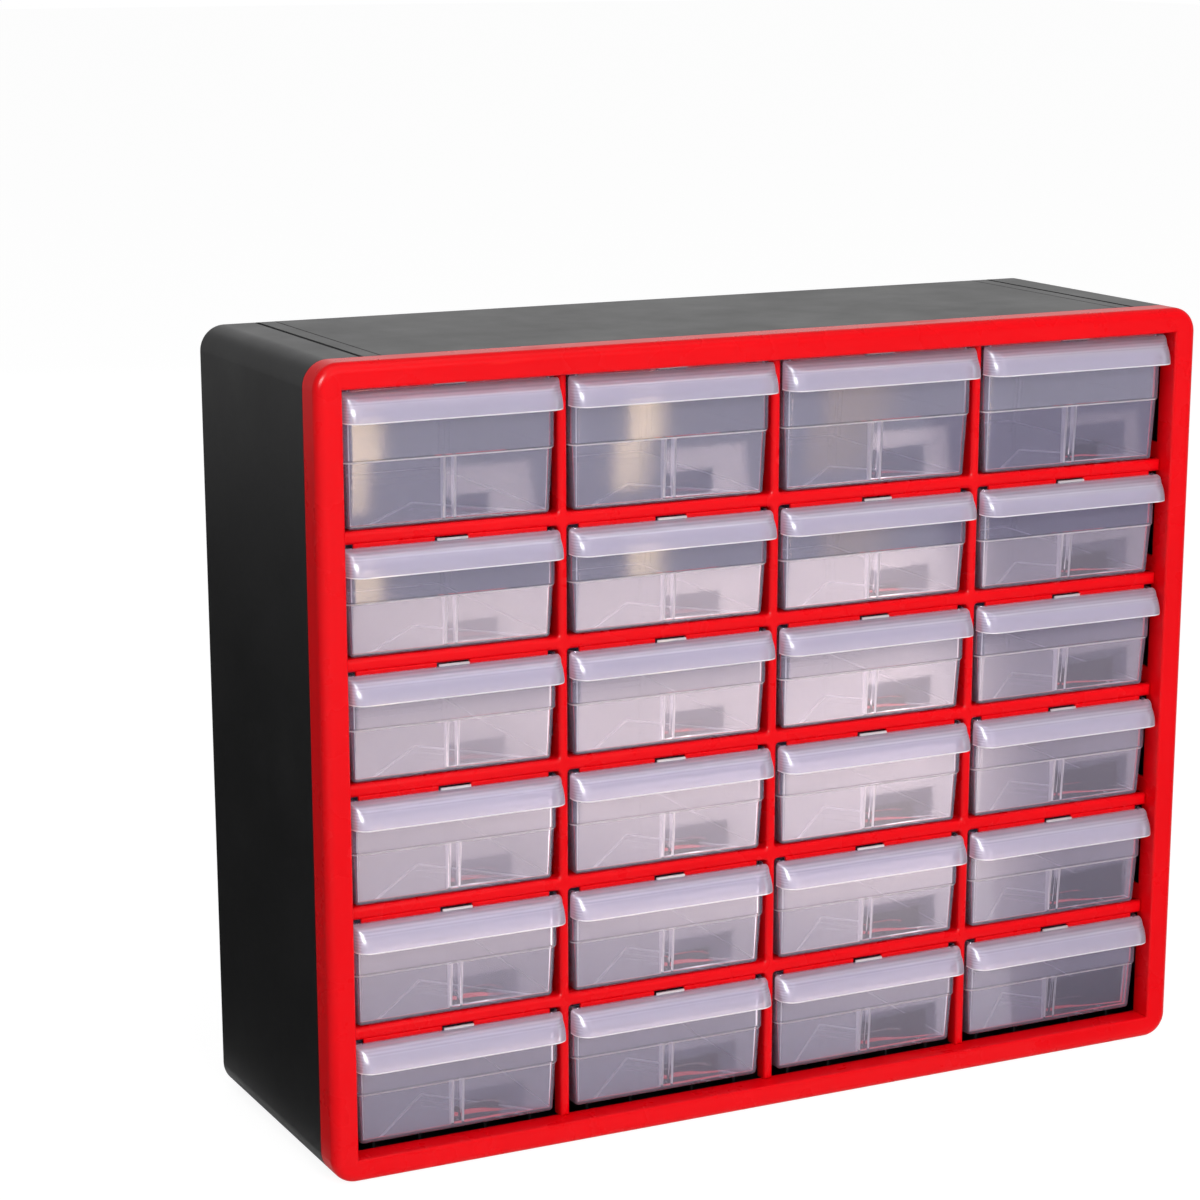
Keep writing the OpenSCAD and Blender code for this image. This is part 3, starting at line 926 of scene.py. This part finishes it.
def makeSlotRib(side, shoulder):
    # one of the two upright ribs that hold a partition
    x = side * (slotRib["gap"] + slotRib["thick"]) / 2 - slotRib["thick"] / 2
    wall, foot = drawer["recess"] + drawer["wall"] / 2, slotRib["foot"]
    tip = drawer["recess"] + drawer["wall"] + leanIn + slotRib["depth"]
    root = wall + drawer["bandDraft"] + slotRib["topInset"]
    outline = [
        (x, wall + leanIn, foot), (x, root, shoulder + slotRib["topRise"]),
        (x, tip, shoulder - slotRib["tipDrop"]), (x, tip, foot),
    ]
    # the front rib is in the edge plastic, painted bright as a highlight
    rib = startFitting("slotRib", outline, (slotRib["thick"], 0, 0), "edge")
    softenEdges(rib, slotRib["soft"], slotRib["softSteps"])
    return rib


def makeBead(side):
    # one half of the pointed bead on the floor
    foot, wide, base = bead["foot"], bead["width"], bead["base"]
    start, tip = drawer["recess"] + leanIn + bead["start"], drawer["recess"] + bead["tip"]
    outline = [(side * (foot + wide), start), (0, tip + wide), (0, tip), (side * foot, start)]
    rise = drawer["floor"] - base + bead["height"]
    # the front bead is in the edge plastic, painted bright as a highlight
    return startFitting("floorBead", [(x, depth, base) for x, depth in outline], (0, 0, rise), "edge")


def makeTongue(height):
    # stands on the rim and fills the notch between the two skirts
    half, front, top = tongue["width"] / 2, drawer["recess"] + slack, height + tongue["rise"]
    back = front + tongue["thick"]
    outline = [(-half, front, top), (half, front, top), (half, back, top), (-half, back, top)]
    piece = startFitting("tongue", outline, (0, 0, -tongue["rise"] - tongue["sunk"]), "rib")
    softenEdges(piece, tongue["soft"])
    return piece


def mirrorToRear(part):
    # the same fitting at the other end of the drawer, in plain plastic without the painted highlight
    twin = copyPiece(part, "rearFitting")
    middle = Matrix.Translation(place(0, drawer["recess"] + drawer["length"] / 2, 0))
    twin.data.transform(middle @ Matrix.Scale(-1, 4, (0, 1, 0)) @ middle.inverted())
    twin.data.flip_normals()
    for face in twin.data.polygons:
        face.material_index = 0
    return twin


def makeDrawer(name, height, shoulder, lipHeight):
    piece = makeTub(name, height, shoulder)
    fuse(piece, makeLip(height, lipHeight))
    fuse(piece, makeTongue(height))
    for side in (-1, 1):
        for part in (makeSlotRib(side, shoulder), makeBead(side)):
            twin = mirrorToRear(part)
            fuse(piece, part)
            fuse(piece, twin)
    smooth(piece, 32)
    print(name, len(piece.data.polygons), "faces")
    return piece


grillePiece, bezelPiece = makeInnerFrame(), makeBezel()
dress(bezelPiece, redPlastic, "cabinet", "front_frame")
dress(grillePiece, redPlastic, "cabinet", "front_frame")
print("frame made")
shellPiece, shellInside = makeShell(), makeShellInside()
dress(shellPiece, blackPlastic, "cabinet", "cabinet_shell")
dress(shellInside, blackPlastic, "cabinet", "cabinet_shell")
print("shell made")

gaps = drawer["restGap"] + drawer["rimGap"]
tallDrawer = makeDrawer("tallDrawer", rowHeight(1) - gaps, drawer["tallShoulder"], lip["tallHeight"])
plainDrawer = makeDrawer("plainDrawer", rowHeight(2) - gaps, drawer["shoulder"], lip["height"])
drawerGroup = bpy.data.collections.new("drawers")
for row in allRows:
    for column in allColumns:
        node = f"drawer_r{row}_c{column}"
        shape = tallDrawer if row == 1 else plainDrawer
        floorZ = rowZ(row) + drawer["restGap"]
        piece = copyPiece(shape, f"drawerRow{row}Column{column}", columnX(column), 0, floorZ)
        dress(piece, None, node, node)
        drawerGroup.objects.link(piece)
for shape in (tallDrawer, plainDrawer):
    bpy.data.objects.remove(shape)
print("drawers made")

# the studio is in metres
studio = {
    "size": 24, "at": (0, 6, -0.0005), "floor": (0.86, 0.86, 0.86), "patch": (0.8, 0.8, 0.8),
    "patchShare": 0.1, "rough": 0.75, "sky": 0.32, "white": 1.2, "share": 0.76,
}
# black cards seen only in gloss: painted dark reflections on the cabinet's left side and on the drawers
darkCards = {
    "leftCard": ((-1.6, -0.4), (-0.26, -0.4), (-1.6, 2.2), (-0.26, 2.2)),
    "rightCard": ((1.0, -1.5), (2.4, -1.5), (0.17, -0.09), (2.4, -0.09)),
}
darkCard = {"z": 0.001, "color": (0.02, 0.02, 0.02), "patch": (0.035, 0.035, 0.035)}
# colours, places and strengths of glowing cards that paint reflections on the drawers
tableReflection = {
    "x": (-0.4, 1.1), "y": (-0.01, -1.09), "z": 0.003, "color": (1.0, 0.82, 0.78), "strength": 6.2,
    "near": (0.02, 0.5), "far": (0.8, 1.0), "slant": 0.6, "edgeX": 0.1, "edgeSoft": (-0.05, 0.07),
    "beyond": 0.18, "left": (0.0, 0.15), "leftShare": 0.78,
}
boardReflection = {
    "y": -1.1, "z": (0.004, 0.26), "color": (1.0, 0.77, 0.5), "leftSoft": 0.006,
    "low": (0.0, 0.1), "lowShare": 0.7,
}
boardReflections = {
    "boardReflectionLeft": {"left": 0.14, "right": 0.208, "soft": 0.008, "strength": 8.5},
    "boardReflectionMiddle": {"left": 0.43, "right": 0.48, "soft": 0.03, "strength": 8.5},
    "boardReflectionRight": {"left": 0.62, "right": 0.72, "soft": 0.06, "strength": 2.2},
}
lamps = {
    "overhead": {"at": (-0.3, -0.8, 2.2), "aim": 0.2, "size": (2.6, 2.0), "power": 18, "unseen": ()},
    "backGlow": {"at": (1.0, 2.4, 0.9), "aim": 0.4, "size": (2.6, 1.2), "power": 4.6, "unseen": ()},
    "frontKey": {"at": (0.3, -3.0, 1.4), "aim": 0.2, "size": (2.0, 1.4), "power": 61, "unseen": ("glossy",)},
    "leftGleam": {
        "at": (-1.4, -1.1, 1.2), "aim": 0.2, "size": (0.7, 0.6), "power": 52,
        "unseen": ("diffuse", "transmission"),
    },
}
view = {
    "at": (-0.7803, -1.4603, 0.6109), "turn": (75.52, -0.08, -26.82), "lens": 96.3, "sensor": 36,
    "shift": (-0.0325, 0.112), "clipStart": 0.05,
}


def cameraRay(paint):
    # 1 where the camera looks straight at the surface, 0 in its light and reflections
    return paint.add("ShaderNodeLightPath", output=0)


def makeFloor():
    bpy.ops.object.select_all(action="DESELECT")
    bpy.ops.mesh.primitive_plane_add(size=studio["size"], location=studio["at"])
    floor = bpy.context.object
    floor.name = "studioFloor"
    paint = newPaint("pale floor")
    patches = paint.noise(3, 3) * studio["patchShare"]
    matte = paint.add(
        "ShaderNodeBsdfPrincipled", Roughness=studio["rough"],
        Base_Color=paint.blend(patches, studio["floor"], studio["patch"]),
    )
    white = paint.add("ShaderNodeEmission", Color=(1, 1, 1), Strength=studio["white"])
    floor.data.materials.append(paint.finish(paint.mix(cameraRay(paint) * studio["share"], matte, white)))


def makeSky():
    sky = bpy.data.worlds.new("studio sky")
    bpy.context.scene.world = sky
    paint = Paint(sky)
    soft = paint.add("ShaderNodeBackground", Color=(1, 1, 1), Strength=studio["sky"])
    white = paint.add("ShaderNodeBackground", Color=(1, 1, 1), Strength=1.0)
    paint.finish(paint.mix(cameraRay(paint), soft, white), "ShaderNodeOutputWorld")


def startCard(name, corners):
    bpy.ops.object.select_all(action="DESELECT")
    bpy.ops.mesh.primitive_plane_add(size=1)
    card = bpy.context.object
    card.name = name
    for vert, corner in zip(card.data.vertices, corners):
        vert.co = corner
    return card


def finishCard(card, paint, shader):
    # a card is seen only in the gloss of the things beside it
    card.data.materials.append(paint.finish(shader))
    card.visible_camera = card.visible_diffuse = card.visible_shadow = card.visible_transmission = False


def makeDarkCard(name, corners):
    # a painted dark reflection: a black card seen only in gloss
    paint = newPaint(name)
    shade = paint.blend(paint.noise(4, 3), darkCard["color"], darkCard["patch"])
    matte = paint.add("ShaderNodeBsdfPrincipled", Base_Color=shade, Roughness=1.0, Specular_IOR_Level=0.0)
    finishCard(startCard(name, [(x, y, darkCard["z"]) for x, y in corners]), paint, matte)


def makeGlowCard(name, corners, color, strength, share):
    # a glowing card that paints a reflection on the drawers: its light falls on the drawers alone, and share
    # gives how much of it each spot sends
    paint = newPaint(name)
    card = startCard(name, corners)
    glow = paint.add("ShaderNodeEmission", Color=color, Strength=strength)
    clear = paint.add("ShaderNodeBsdfTransparent", Color=(1, 1, 1))
    finishCard(card, paint, paint.mix(share(paint), clear, glow))
    card.light_linking.receiver_collection = drawerGroup


def tableReflectionShare(paint):
    # a painted reflection, bright beyond the painted shade of the cabinet, up to a slanting edge on the
    # right, and dimmer on the left
    x, away = paint.axis(0), paint.axis(1) * -1.0
    middle = paint.band(away, *tableReflection["near"]) * (1.0 - paint.band(away, *tableReflection["far"]))
    past = x - away * tableReflection["slant"] - tableReflection["edgeX"]
    left = paint.band(x, *tableReflection["left"]) * (1 - tableReflection["leftShare"]) + tableReflection["leftShare"]
    return middle * (1.0 - paint.band(past, *tableReflection["edgeSoft"]) * (1 - tableReflection["beyond"])) * left


# a painted reflection of an upright board, darker towards its bottom as painted shade
def boardReflectionShare(left, right, soft):
    def share(paint):
        x, z = paint.axis(0), paint.axis(2)
        across = paint.band(x, left, left + boardReflection["leftSoft"]) * (1.0 - paint.band(x, right - soft, right))
        return across * (paint.band(z, *boardReflection["low"]) * (1 - boardReflection["lowShare"]) + boardReflection["lowShare"])
    return share


def makeLamp(name, at, aim, size, power, unseen):
    # a soft box that looks at a height over the middle of the cabinet
    data = bpy.data.lights.new(name, "AREA")
    data.shape = "RECTANGLE"
    data.size, data.size_y = size
    data.energy = power
    lamp = bpy.data.objects.new(name, data)
    bpy.context.scene.collection.objects.link(lamp)
    lamp.location = at
    lamp.rotation_euler = (Vector((0, 0, aim)) - Vector(at)).to_track_quat("-Z", "Y").to_euler()
    lamp.visible_camera = False
    for ray in unseen:
        setattr(lamp, f"visible_{ray}", False)


def makeCamera():
    camera = bpy.data.objects.new("camera", bpy.data.cameras.new("camera"))
    bpy.context.scene.collection.objects.link(camera)
    camera.location = view["at"]
    camera.rotation_euler = [radians(angle) for angle in view["turn"]]
    camera.data.lens, camera.data.sensor_width = view["lens"], view["sensor"]
    camera.data.shift_x, camera.data.shift_y = view["shift"]
    camera.data.clip_start = view["clipStart"]
    return camera


makeFloor()
makeSky()
for name, corners in darkCards.items():
    makeDarkCard(name, corners)
floorCorners = [(x, y, tableReflection["z"]) for y in tableReflection["y"] for x in tableReflection["x"]]
makeGlowCard("tableReflectionGlow", floorCorners, tableReflection["color"], tableReflection["strength"], tableReflectionShare)
for name, one in boardReflections.items():
    corners = [(x, boardReflection["y"], z) for z in boardReflection["z"] for x in (one["left"], one["right"])]
    share = boardReflectionShare(one["left"], one["right"], one["soft"])
    makeGlowCard(name, corners, boardReflection["color"], one["strength"], share)
for name, lamp in lamps.items():
    makeLamp(name, **lamp)
print("studio lit")

bpy.context.scene.camera = makeCamera()
bpy.context.scene.view_settings.view_transform = "Standard"
